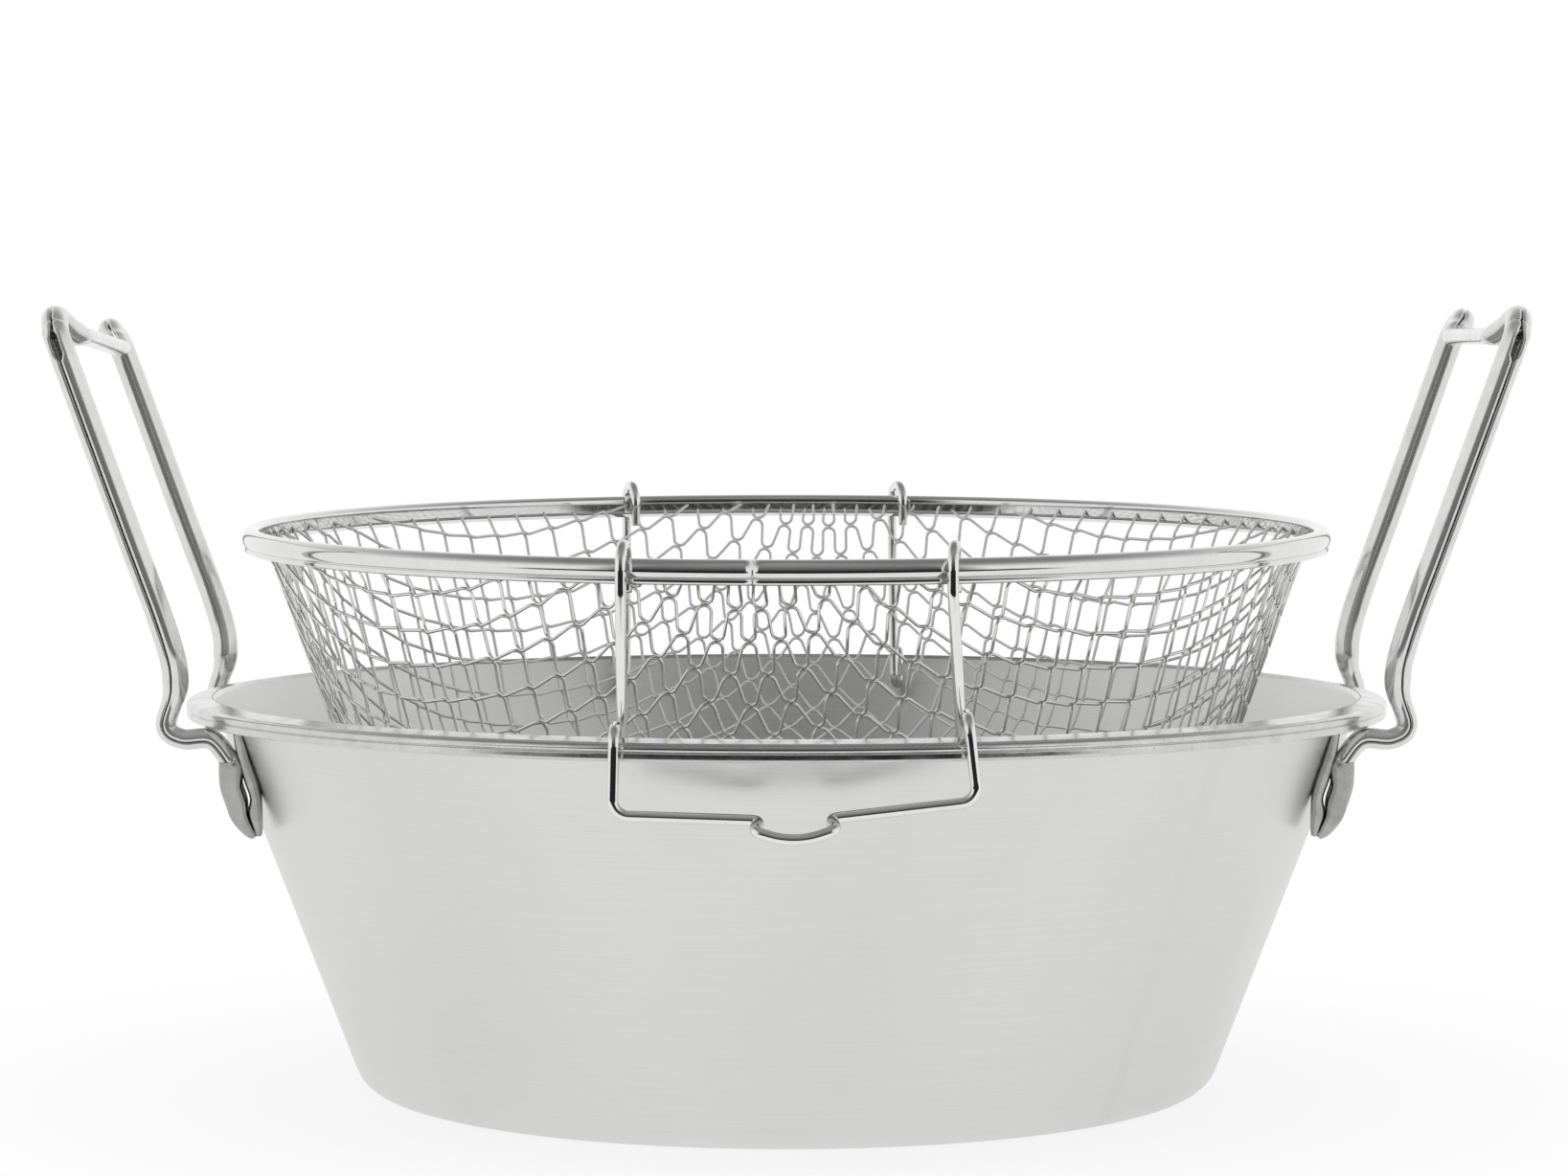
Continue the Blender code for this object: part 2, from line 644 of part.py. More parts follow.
def build():
    """Clears the scene and makes every piece."""
    for old in list(bpy.data.objects):
        bpy.data.objects.remove(old, do_unlink=True)
    parts = make_collection(COLLECTION_NAME)
    cutters = make_collection("cutters")
    brushed = make_material("brushed_steel", (0.60, 0.60, 0.60), 0.34)
    polished = make_material("polished_steel", (0.72, 0.72, 0.72), 0.12)
    strip = make_material("rolled_strip_steel", (0.64, 0.64, 0.64), 0.22)
    wire = make_material("bright_wire", (0.78, 0.78, 0.78), 0.10)
    net_wire = make_material("net_wire", (0.55, 0.55, 0.55), 0.25)

    make_pot(parts, brushed)
    for name, outward, rear_drop in (("left", -1, LEFT_REAR_EAR_DROP), ("right", 1, 0)):
        make_pot_handle(f"pot_handle_{name}", outward, rear_drop, parts, strip)
        for where, side in (("front", -1), ("rear", 1)):
            make_socket(f"socket_{name}_{where}", outward, side, parts, cutters, strip)

    basket = make_empty("basket_lift_axis", parts, (0, 0, ring_level()))
    basket.rotation_euler = (BASKET_TILT, 0, 0)
    make_basket_ring(parts, polished, basket)
    net = make_basket_net(parts, net_wire, basket)
    handles = [
        ("front", -1, 0, ((0, FRONT_LEFT_DROP), (FRONT_RIGHT_HOOK_RISE, FRONT_RIGHT_DROP)), FRONT_DIP_SHIFT),
        ("rear", 1, REAR_HANDLE_TURN, ((0, REAR_DROP), (0, REAR_DROP)), 0),
    ]
    for where, side, turn, legs, dip_shift in handles:
        hinge = make_hinge(f"{where}_handle_axis", side, turn, parts)
        make_basket_handle(f"basket_handle_{where}", side, legs, dip_shift, parts, wire, hinge)
        for hand, left_right in (("left", -1), ("right", 1)):
            make_eye_clearance(net, f"eye_clearance_{where}_{hand}", hinge, left_right, cutters)


build()
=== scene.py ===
from math import asin, cos, hypot, pi, radians, sin, sqrt, tan

import bmesh
import bpy
import numpy as np
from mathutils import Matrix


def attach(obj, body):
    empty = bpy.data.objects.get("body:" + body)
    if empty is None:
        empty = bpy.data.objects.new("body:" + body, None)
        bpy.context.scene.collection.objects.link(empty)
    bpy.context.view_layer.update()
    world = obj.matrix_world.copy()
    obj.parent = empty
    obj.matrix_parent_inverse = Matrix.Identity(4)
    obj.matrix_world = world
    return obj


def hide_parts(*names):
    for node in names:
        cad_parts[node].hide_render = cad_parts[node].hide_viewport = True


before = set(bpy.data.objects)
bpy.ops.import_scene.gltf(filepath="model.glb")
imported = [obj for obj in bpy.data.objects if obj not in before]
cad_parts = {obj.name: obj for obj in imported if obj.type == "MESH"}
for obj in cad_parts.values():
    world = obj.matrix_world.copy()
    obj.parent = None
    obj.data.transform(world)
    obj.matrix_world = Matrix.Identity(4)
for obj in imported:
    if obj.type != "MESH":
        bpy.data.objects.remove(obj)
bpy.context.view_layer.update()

print("stage: frame loaded,", len(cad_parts), "nodes")


# Colours and nodes

def hexToLinear(code):
    # sRGB hex to linear: below the toe a straight line, above it a power of 2.4
    share = np.array([int(code[i:i + 2], 16) for i in (1, 3, 5)]) / 255
    line = np.where(share <= 0.04045, share / 12.92, ((share + 0.055) / 1.055) ** 2.4)
    return (*line.tolist(), 1.0)


def addNode(tree, kind, settings=None, inputs=None):
    # One node with its settings; an input is a value, or a socket to link from
    node = tree.nodes.new(kind)
    for key, value in (settings or {}).items():
        setattr(node, key, value)
    for key, value in (inputs or {}).items():
        if isinstance(value, bpy.types.NodeSocket):
            tree.links.new(value, node.inputs[key])
        else:
            node.inputs[key].default_value = value
    return node


def newMaterial(name):
    material = bpy.data.materials.new(name)
    material.use_nodes = True
    tree = material.node_tree
    return material, tree, tree.nodes["Principled BSDF"]


# Camera, floor and light

viewSetup = {
    "place": (-0.0006, -1.150, 0.181),  # metres from the middle of the pot's bottom
    "downTilt": 0.052,                  # radians below level
    "focal": 108.4,                     # mm on a 36 mm wide sensor
    "floorColour": "#F4F4F4",
    "floorSize": 8.0,
    "floorDrop": 0.0002,                # so that the floor and the pot's bottom don't lie in one plane
    "shadowFade": (0.10, 0.30, 0.80, 1.0),  # distances over which the shadow fades, and the white at both
    "tableEdge": 0.46,                  # metres in front of the pot where mirrored rays leave the white table
    "edgeFade": 0.08,
    "tableSector": (-1.6, -1.1),        # |x| / y where the dark floor begins and is full
    "darkFront": 0.02,                  # brightness of the room's floor, past the table
    "frontSector": (-0.72, -0.86),      # cosine of the heading where the unlit room begins and is full
    "horizonGrey": 0.02,                # the room behind the camera, at the horizon
    "ceilingGrey": 0.36,                # and right above it
    "zenithFade": (0.30, 0.95),         # sine of the height over which the studio's ceiling darkens
    "zenithGrey": 0.24,                 # right above the object
}


def makeCamera():
    data = bpy.data.cameras.new("photoCamera")
    data.lens = viewSetup["focal"]
    data.sensor_width = 36
    data.sensor_fit = "HORIZONTAL"
    data.clip_start = 0.01
    camera = bpy.data.objects.new("photoCamera", data)
    camera.location = viewSetup["place"]
    camera.rotation_euler = (pi / 2 - viewSetup["downTilt"], 0, 0)
    bpy.context.scene.collection.objects.link(camera)
    bpy.context.scene.camera = camera


def makeFloor():
    # White card: camera and mirror rays see it nearly white, and it still takes the shadow
    half = viewSetup["floorSize"] / 2
    corners = [(-half, -half, 0), (half, -half, 0), (half, half, 0), (-half, half, 0)]
    mesh = bpy.data.meshes.new("floor")
    mesh.from_pydata(corners, [], [(0, 1, 2, 3)])
    floor = bpy.data.objects.new("floor", mesh)
    bpy.context.scene.collection.objects.link(floor)
    floor.location.z = -viewSetup["floorDrop"]
    material, tree, shader = newMaterial("matteWhiteCard")
    tree.nodes.remove(shader)
    smooth = {"interpolation_type": "SMOOTHSTEP"}
    rays = addNode(tree, "ShaderNodeLightPath").outputs
    seen = addNode(tree, "ShaderNodeMath", {"operation": "MAXIMUM"},
                   {0: rays["Is Camera Ray"], 1: rays["Is Glossy Ray"]})
    seen = addNode(tree, "ShaderNodeMath", {"operation": "MAXIMUM"},
                   {0: seen.outputs[0], 1: rays["Is Transmission Ray"]})
    place = addNode(tree, "ShaderNodeTexCoord").outputs["Object"]
    away = addNode(tree, "ShaderNodeVectorMath", {"operation": "LENGTH"}, {0: place})
    start, end, low, high = viewSetup["shadowFade"]
    white = addNode(tree, "ShaderNodeMapRange", smooth,
                    {0: away.outputs["Value"], 1: start, 2: end, 3: low, 4: high})
    glow = addNode(tree, "ShaderNodeMath", {"operation": "MULTIPLY"}, {0: seen.outputs[0], 1: white.outputs[0]})
    # past the table's front edge, mirrored rays find the dark room's floor
    parts = addNode(tree, "ShaderNodeSeparateXYZ", None, {0: place}).outputs
    aside = addNode(tree, "ShaderNodeMath", {"operation": "ABSOLUTE"}, {0: parts[0]})
    slant = addNode(tree, "ShaderNodeMath", {"operation": "DIVIDE"}, {0: aside.outputs[0], 1: parts[1]})
    start, end = viewSetup["tableSector"]
    sector = addNode(tree, "ShaderNodeMapRange", smooth, {0: slant.outputs[0], 1: start, 2: end, 3: 0.0, 4: 1.0})
    edge = -viewSetup["tableEdge"]
    past = addNode(tree, "ShaderNodeMapRange", smooth,
                   {0: parts[1], 1: edge, 2: edge - viewSetup["edgeFade"], 3: 0.0, 4: 1.0})
    front = addNode(tree, "ShaderNodeMath", {"operation": "MULTIPLY"}, {0: sector.outputs[0], 1: past.outputs[0]})
    mirrored = addNode(tree, "ShaderNodeMath", {"operation": "MULTIPLY"},
                       {0: front.outputs[0], 1: rays["Is Glossy Ray"]})
    strength = addNode(tree, "ShaderNodeMapRange", None,
                       {0: mirrored.outputs[0], 1: 0.0, 2: 1.0, 3: 1.0, 4: viewSetup["darkFront"]})
    matte = addNode(tree, "ShaderNodeBsdfDiffuse", None, {"Color": hexToLinear(viewSetup["floorColour"])})
    bright = addNode(tree, "ShaderNodeEmission", None,
                     {"Color": (1, 1, 1, 1), "Strength": strength.outputs[0]})
    mixed = addNode(tree, "ShaderNodeMixShader", None,
                    {0: glow.outputs[0], 1: matte.outputs[0], 2: bright.outputs[0]})
    tree.links.new(mixed.outputs[0], tree.nodes["Material Output"].inputs["Surface"])
    mesh.materials.append(material)


def makeWorld():
    # A white studio all round. In front of the object, mirrored rays find the room behind the camera, which is
    # dark at the horizon and paler upwards. All other rays find plain white.
    world = bpy.data.worlds.new("softStudio")
    bpy.context.scene.world = world
    world.use_nodes = True
    tree = world.node_tree
    tree.nodes.clear()
    smooth = {"interpolation_type": "SMOOTHSTEP"}
    rays = addNode(tree, "ShaderNodeLightPath").outputs
    way = addNode(tree, "ShaderNodeTexCoord").outputs["Generated"]
    parts = addNode(tree, "ShaderNodeSeparateXYZ", None, {0: way}).outputs
    flat = addNode(tree, "ShaderNodeCombineXYZ", None, {0: parts[0], 1: parts[1]})
    length = addNode(tree, "ShaderNodeVectorMath", {"operation": "LENGTH"}, {0: flat.outputs[0]})
    facing = addNode(tree, "ShaderNodeMath", {"operation": "DIVIDE"}, {0: parts[1], 1: length.outputs["Value"]})
    start, end = viewSetup["frontSector"]
    ahead = addNode(tree, "ShaderNodeMapRange", smooth, {0: facing.outputs[0], 1: start, 2: end, 3: 0.0, 4: 1.0})
    front = addNode(tree, "ShaderNodeMapRange", None,
                    {0: parts[2], 1: 0.0, 2: 1.0, 3: viewSetup["horizonGrey"], 4: viewSetup["ceilingGrey"]})
    start, end = viewSetup["zenithFade"]
    zenith = addNode(tree, "ShaderNodeMapRange", smooth,
                     {0: parts[2], 1: start, 2: end, 3: 1.0, 4: viewSetup["zenithGrey"]})
    room = addNode(tree, "ShaderNodeMix", {"data_type": "FLOAT"},
                   {0: ahead.outputs[0], 2: zenith.outputs[0], 3: front.outputs[0]})
    unmirrored = addNode(tree, "ShaderNodeMath", {"operation": "SUBTRACT"}, {0: 1.0, 1: rays["Is Glossy Ray"]})
    shown = addNode(tree, "ShaderNodeMath", {"operation": "MAXIMUM"},
                    {0: room.outputs[0], 1: unmirrored.outputs[0]})
    light = addNode(tree, "ShaderNodeBackground", None, {"Color": (1, 1, 1, 1), "Strength": shown.outputs[0]})
    output = addNode(tree, "ShaderNodeOutputWorld")
    tree.links.new(light.outputs[0], output.inputs["Surface"])


bpy.context.scene.view_settings.view_transform = "Standard"
makeCamera()
makeFloor()
makeWorld()
print("stage: camera, floor and studio")


# Shapes as whole arrays

def gridQuads(rows, columns, wrapRows=False, wrapColumns=True):
    # Each quad joins a grid point with its neighbours on the next row and in the next column
    row, column = np.meshgrid(np.arange(rows if wrapRows else rows - 1),
                              np.arange(columns if wrapColumns else columns - 1), indexing="ij")
    nextRow, nextColumn = (row + 1) % rows, (column + 1) % columns
    corners = [row * columns + column, row * columns + nextColumn,
               nextRow * columns + nextColumn, nextRow * columns + column]
    return np.stack(corners, -1).reshape(-1, 4)


def unit(vectors):
    return vectors / np.maximum(np.linalg.norm(vectors, axis=-1, keepdims=True), 1e-12)


def tangents(path):
    # Direction at each point of a line: from the point before to the point after
    return unit(np.gradient(path, axis=0))


def turned(profile, angles, closed):
    # A profile of (radius, height) carried round Z: x = r cos a, y = r sin a, z = h
    radius, height = profile[:, 0][:, None], profile[:, 1][:, None]
    points = np.stack([radius * np.cos(angles), radius * np.sin(angles), height + 0 * angles], -1)
    return points.reshape(-1, 3), gridQuads(len(profile), len(angles), wrapColumns=closed)


def carried(path, towards, section):
    # A section of (along towards, across) carried along the path, square to its direction at every point
    forward = tangents(path)
    first = unit(towards - forward * np.sum(towards * forward, axis=1, keepdims=True))
    second = np.cross(forward, first)
    points = path[:, None] + section[..., 0:1] * first[:, None] + section[..., 1:2] * second[:, None]
    return points.reshape(-1, 3), gridQuads(len(path), section.shape[-2])


def roundedLine(corners, bendRadii, steps):
    # Straight runs between the corners, with an arc of the given radius that touches both runs at each one
    corners = np.array(corners, float)
    line = [corners[0]]
    for before, corner, after, radius in zip(corners, corners[1:], corners[2:], bendRadii):
        back, onwards = unit(before - corner), unit(after - corner)
        turn = pi - np.arccos(np.clip(back @ onwards, -1, 1))
        middle = corner + unit(back + onwards) * radius / cos(turn / 2)
        arm = corner + back * radius * tan(turn / 2) - middle
        angle = np.linspace(0, turn, steps + 1)[:, None]
        line.extend(middle + arm * np.cos(angle) - back * radius * np.sin(angle))
    line.append(corners[-1])
    return np.array(line)


def throughPoints(points, steps):
    # A smooth line through every point: on each stretch a cubic, with slopes set by the points next to it
    points = np.array(points, float)
    ends = np.concatenate([[2 * points[0] - points[1]], points, [2 * points[-1] - points[-2]]])
    a, b, c, d = ends[:-3, None], ends[1:-2, None], ends[2:-1, None], ends[3:, None]
    t = (np.arange(steps) / steps)[None, :, None]
    line = b + ((c - a) * t + (2 * a - 5 * b + 4 * c - d) * t**2 + (3 * b - 3 * c + d - a) * t**3) / 2
    return np.concatenate([line.reshape(-1, points.shape[1]), points[-1:]])


def evenLine(line, spacing):
    # The same line with its points set at an even distance along it
    run = np.concatenate([[0], np.cumsum(np.linalg.norm(np.diff(line, axis=0), axis=1))])
    places = np.linspace(0, run[-1], int(run[-1] / spacing) + 1)
    return np.stack([np.interp(places, run, line[:, i]) for i in range(3)], -1)


def splitRuns(line, longest):
    # The same line with points added where two lie further apart than the longest step
    count = np.ceil(np.linalg.norm(np.diff(line, axis=0), axis=1) / longest).astype(int).clip(1)
    start = np.repeat(np.arange(len(count)), count)
    share = (np.arange(count.sum()) - np.repeat(np.cumsum(count) - count, count)) / np.repeat(count, count)
    inner = line[start] + (line[start + 1] - line[start]) * share[:, None]
    return np.concatenate([inner, line[-1:]])


def circleSection(sides, radius):
    angle = np.arange(sides) * 2 * pi / sides
    return np.stack([np.cos(angle), np.sin(angle)], -1) * radius


def makePiece(name, points, quads, material, body, nodes, caps=()):
    # One object at the origin; its faces are turned outwards by the sign of the volume that they close
    corner = points[quads]
    volume = np.sum(np.cross(corner[:, 1] - corner[:, 0], corner[:, 2] - corner[:, 0]) * corner[:, 0])
    volume += np.sum(np.cross(corner[:, 2] - corner[:, 0], corner[:, 3] - corner[:, 0]) * corner[:, 0])
    faces = quads.tolist() + [list(cap) for cap in caps]
    if volume < 0:
        faces = [face[::-1] for face in faces]
    mesh = bpy.data.meshes.new(name)
    mesh.from_pydata(points.tolist(), [], faces)
    shape = bmesh.new()
    shape.from_mesh(mesh)
    bmesh.ops.remove_doubles(shape, verts=shape.verts, dist=1e-7)
    shape.to_mesh(mesh)
    shape.free()
    mesh.shade_smooth()
    mesh.materials.append(material)
    piece = bpy.data.objects.new(name, mesh)
    bpy.context.scene.collection.objects.link(piece)
    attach(piece, body)
    if nodes:
        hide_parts(*nodes)
    return piece


def tubeCaps(rows, columns):
    # The first and last ring of points as two end faces
    return [list(range(columns))[::-1], list(range((rows - 1) * columns, rows * columns))]


# Metals

def makeBrushedSteel():
    # 304 stainless sheet, brushed in rings while it spun: fine lines run round it and smear what it mirrors up
    # and down. The lines are about 0.3 mm apart here, some 5 times coarser than real ones, so that they show.
    # Soft clouds of wear are greyer.
    material, tree, shader = newMaterial("brushedStainlessSheet")
    place = addNode(tree, "ShaderNodeTexCoord").outputs["Object"]
    parts = addNode(tree, "ShaderNodeSeparateXYZ", None, {0: place}).outputs
    flat = addNode(tree, "ShaderNodeCombineXYZ", None, {0: parts[0], 1: parts[1]})
    radius = addNode(tree, "ShaderNodeVectorMath", {"operation": "LENGTH"}, {0: flat.outputs[0]})
    along = addNode(tree, "ShaderNodeMath", {"operation": "ADD"}, {0: radius.outputs["Value"], 1: parts[2]})
    line = addNode(tree, "ShaderNodeMath", {"operation": "MULTIPLY"}, {0: along.outputs[0], 1: 90.0})
    spread = addNode(tree, "ShaderNodeCombineXYZ", None, {0: parts[0], 1: parts[1], 2: line.outputs[0]})
    grain = addNode(tree, "ShaderNodeTexNoise", None,
                    {"Vector": spread.outputs[0], "Scale": 34.0, "Detail": 6.0, "Roughness": 0.62})
    smear = addNode(tree, "ShaderNodeMapping", None, {"Vector": place, "Scale": (16.0, 16.0, 5.0)})
    cloud = addNode(tree, "ShaderNodeTexNoise", None, {"Vector": smear.outputs[0], "Scale": 1.0, "Detail": 3.0})
    tone = addNode(tree, "ShaderNodeMix", {"data_type": "RGBA"},
                   {0: grain.outputs["Fac"], 6: hexToLinear("#D7D7D6"), 7: hexToLinear("#EBEBEA")})
    worn = addNode(tree, "ShaderNodeMapRange", None,
                   {0: cloud.outputs["Fac"], 1: 0.35, 2: 0.7, 3: 0.0, 4: 0.14})
    colour = addNode(tree, "ShaderNodeMix", {"data_type": "RGBA"},
                     {0: worn.outputs[0], 6: tone.outputs[2], 7: hexToLinear("#BDBDBC")})
    rough = addNode(tree, "ShaderNodeMapRange", None,
                    {0: grain.outputs["Fac"], 1: 0.3, 2: 0.7, 3: 0.30, 4: 0.42})
    bump = addNode(tree, "ShaderNodeBump", None,
                   {"Strength": 0.10, "Distance": 0.0002, "Height": grain.outputs["Fac"]})
    circling = addNode(tree, "ShaderNodeTangent", {"direction_type": "RADIAL", "axis": "Z"})
    shader.inputs["Metallic"].default_value = 1.0
    shader.inputs["Anisotropic"].default_value = 0.55
    tree.links.new(colour.outputs[2], shader.inputs["Base Color"])
    tree.links.new(rough.outputs[0], shader.inputs["Roughness"])
    tree.links.new(bump.outputs[0], shader.inputs["Normal"])
    tree.links.new(circling.outputs[0], shader.inputs["Tangent"])
    return material


def makeDrawnSteel(name, light, dark, roughness, specks, bumpStrength, metallic=1.0):
    # Bright stainless wire or strip, drawn or rolled through dies: a near mirror with soft clouds of wear about
    # 6 mm wide, and pits about 0.4 mm across
    material, tree, shader = newMaterial(name)
    place = addNode(tree, "ShaderNodeTexCoord").outputs["Object"]
    cloud = addNode(tree, "ShaderNodeTexNoise", None,
                    {"Vector": place, "Scale": 160.0, "Detail": 5.0, "Roughness": 0.6})
    pits = addNode(tree, "ShaderNodeTexNoise", None, {"Vector": place, "Scale": 2400.0, "Detail": 2.0})
    pitMask = addNode(tree, "ShaderNodeMapRange", None,
                      {0: pits.outputs["Fac"], 1: 0.62, 2: 0.72, 3: 0.0, 4: specks})
    tone = addNode(tree, "ShaderNodeMix", {"data_type": "RGBA"},
                   {0: cloud.outputs["Fac"], 6: hexToLinear(light), 7: hexToLinear(dark)})
    colour = addNode(tree, "ShaderNodeMix", {"data_type": "RGBA"},
                     {0: pitMask.outputs[0], 6: tone.outputs[2], 7: hexToLinear("#4A4A4A")})
    rough = addNode(tree, "ShaderNodeMapRange", None,
                    {0: cloud.outputs["Fac"], 1: 0.3, 2: 0.7, 3: roughness[0], 4: roughness[1]})
    bump = addNode(tree, "ShaderNodeBump", None,
                   {"Strength": bumpStrength, "Distance": 0.0002, "Height": cloud.outputs["Fac"]})
    shader.inputs["Metallic"].default_value = metallic
    tree.links.new(colour.outputs[2], shader.inputs["Base Color"])
    tree.links.new(rough.outputs[0], shader.inputs["Roughness"])
    tree.links.new(bump.outputs[0], shader.inputs["Normal"])
    return material


brushedSteel = makeBrushedSteel()
rimSteel = makeDrawnSteel("rolledRimStainless", "#DEDEDD", "#BCBCBB", (0.13, 0.24), 0.40, 0.14)
ringSteel = makeDrawnSteel("polishedStainlessSheet", "#E4E4E3", "#D6D6D5", (0.04, 0.08), 0.15, 0.03)
# tumbled after rolling: its satin face scatters a part of the light, so it stays paler than the wires
stripSteel = makeDrawnSteel("rolledStainlessStrip", "#E8E8E7", "#CDCDCC", (0.12, 0.20), 0.10, 0.04, 0.80)
# the feet get darker, duller greys than the rest of the strip: the darker grey is painted shade for where they
# sit under the rim against the wall
shadedFootSteel = makeDrawnSteel("shadeDarkenedStainlessStrip", "#C4C4C2", "#848483", (0.16, 0.28), 0.30, 0.10)
wireSteel = makeDrawnSteel("brightStainlessWire", "#ECECEB", "#DADAD9", (0.04, 0.09), 0.15, 0.04)
netSteel = makeDrawnSteel("drawnStainlessNetWire", "#E6E6E5", "#D0D0CF", (0.06, 0.14), 0.08, 0.04)
# the rear of the net gets a paler, half-matte copy of the wire steel: painted lightening in place of the blur
# that the lens gives it there
farNetSteel = makeDrawnSteel("paledRearStainlessNetWire", "#E2E2E1", "#D2D2D1", (0.45, 0.60), 0.0, 0.06, 0.40)
print("stage: metals")


# Pot body: one turned sheet with a rolled rim

pot = {
    "height": 0.0956,
    "wall": 0.0009,
    "baseRadius": 0.0970,
    "cornerRadius": 0.0085,
    "lean": radians(20.9),
    "rimOverhang": 0.0062,
    "rimHeight": 0.0045,
    "mouthEdge": ((-0.0002, 0.0007), (0.0007, -0.0003)),  # out from the mouth's radius, down from the rim's top
    "mouthBend": 0.0006,
    # the rolled rim with its groove, as corners: in from the rim's edge, down from its top, bend radius there
    "rimCorners": ((0.0014, 0.0004, 0.0010), (0.0, 0.0011, 0.0011), (0.0002, 0.0022, 0.0003),
                   (0.0006, 0.00245, 0.0001), (0.0002, 0.0027, 0.0002), (0.0002, 0.0040, 0.0004),
                   (0.0009, 0.0045, 0.0004)),
    "rimClose": (0.0042, 0.0003),       # where it meets the wall again, and the bend radius there
    "rimSteelFrom": 0.00445,            # down from the top, the metal of the rim
    "steps": 320,
}


def sharpCorner():
    # Radius where the wall's outer line would meet the floor
    return pot["baseRadius"] + pot["cornerRadius"] * tan((pi / 2 - pot["lean"]) / 2)


def wallRadius(height):
    return sharpCorner() + height * tan(pot["lean"])


def mouthRadius():
    return wallRadius(pot["height"]) - pot["wall"] / cos(pot["lean"])


def rimRadius():
    return wallRadius(pot["height"]) + pot["rimOverhang"]


def potProfile():
    # From the middle out along the inner bottom, up the inside, over the rim and back down the outside to the
    # middle, as straight runs and arcs in (radius, height)
    top, wall, rim, bend = pot["height"], pot["wall"], rimRadius(), pot["cornerRadius"]
    innerCorner = sharpCorner() - wall * tan((pi / 2 - pot["lean"]) / 2)
    closeDrop, closeBend = pot["rimClose"]
    corners = [(0, wall), (innerCorner, wall)]
    corners += [(mouthRadius() + out, top - down) for out, down in pot["mouthEdge"]]
    corners += [(rim - inward, top - down) for inward, down, _ in pot["rimCorners"]]
    corners += [(wallRadius(top - closeDrop), top - closeDrop), (sharpCorner(), 0), (0, 0)]
    bends = [bend - wall, pot["mouthBend"], pot["mouthBend"]]
    bends += [radius for _, _, radius in pot["rimCorners"]] + [closeBend, bend]
    flat = roundedLine([(r, z, 0) for r, z in corners], bends, 6)[:, :2]
    return splitRuns(flat, 0.004)


def makePot():
    profile = potProfile()
    angles = np.arange(pot["steps"]) * 2 * pi / pot["steps"]
    points, quads = turned(profile, angles, True)
    piece = makePiece("pressedPot", points, quads, brushedSteel, "pot", ["pot_body"])
    piece.data.materials.append(rimSteel)
    centre = np.zeros(len(piece.data.polygons) * 3)
    piece.data.polygons.foreach_get("center", centre)
    centre = centre.reshape(-1, 3)
    outside = np.hypot(centre[:, 0], centre[:, 1]) > mouthRadius() - 0.0001
    onRim = outside & (centre[:, 2] > pot["height"] - pot["rimSteelFrom"])
    piece.data.polygons.foreach_set("material_index", onRim.astype(np.int32))
    return piece


makePot()
print("stage: pot body")


# Basket ring: rolled sheet with a butt seam at the front

ring = {
    "mouthGap": 0.0064,
    "width": 0.0044,
    "height": 0.0060,
    "rise": 0.0390,
    "tilt": radians(1.25),
    "seamPlace": -0.0074,   # X of the seam at the front
    "seamGap": 0.00022,
    "beadRadius": 0.0026,   # the round upper part of the rolled section
    "beadArc": (100, -34),  # degrees from straight out: from its inner side down to the groove
    "beadDrop": 0.0003,     # of the bead's middle below the ring's
    "tuckDepth": 0.0006,    # the groove above the sheet's tucked edge
    "tuckHeight": 0.00195,  # below the ring's middle
    "tuckBend": 0.00012,
    # the tucked lip: in from the outer radius, below the ring's middle, bend radius there
    "lip": ((0.0005, 0.0021, 0.0003), (0.0006, 0.0033, 0.0005), (0.0026, 0.0034, 0.0008)),
    "innerSide": (0.0022, -0.0016),     # below the ring's middle, the inner side's low and high end
    "innerBend": 0.0010,
    "steps": 420,
}


def ringRadius():
    return mouthRadius() - ring["mouthGap"]


def ringLevel():
    return pot["height"] + ring["rise"]


def tiltBasket(points):
    # The basket's own frame, middle of the ring at zero, turned about X and raised to its place
    lean = ring["tilt"]
    x, y, z = points[..., 0], points[..., 1], points[..., 2]
    return np.stack([x, y * cos(lean) - z * sin(lean), y * sin(lean) + z * cos(lean) + ringLevel()], -1)


def ringSection():
    # Over the round bead to the groove on the outer side, round the tucked lip below it, and back up the inner
    # side. Points are (offset from the outer radius, height from the ring's middle).
    bead = ring["beadRadius"]
    angle = np.linspace(*(radians(degrees) for degrees in ring["beadArc"]), 30)[:, None]
    over = np.hstack([bead * (np.cos(angle) - 1), bead * np.sin(angle) - ring["beadDrop"]])
    corners = [over[-1], (over[-1][0] - ring["tuckDepth"], -ring["tuckHeight"])]
    corners += [(-inward, -down) for inward, down, _ in ring["lip"]]
    corners += [(-ring["width"], -down) for down in ring["innerSide"]] + [over[0]]
    bends = [ring["tuckBend"]] + [radius for _, _, radius in ring["lip"]] + [ring["innerBend"]] * 2
    under = roundedLine([(x, z, 0) for x, z in corners], bends, 6)[:, :2]
    return np.concatenate([over[:-1], under[:-1]]) + (ringRadius(), 0)


def makeRing():
    section = ringSection()
    seamAngle = -pi / 2 + asin(ring["seamPlace"] / ringRadius())
    halfGap = ring["seamGap"] / 2 / ringRadius()
    angles = seamAngle + halfGap + np.linspace(0, 2 * pi - 2 * halfGap, ring["steps"])
    closing = np.concatenate([section, section[:1]])
    points, quads = turned(closing, angles, False)
    columns = len(angles)
    caps = [[row * columns for row in range(len(section))][::-1],
            [row * columns + columns - 1 for row in range(len(section))]]
    points = tiltBasket(points)
    return makePiece("rolledRing", points, quads, ringSteel, "basket", ["basket_ring"], caps)


makeRing()
print("stage: basket ring")


# Basket net: interlocking zigzag wires, woven flat and pressed into a bowl

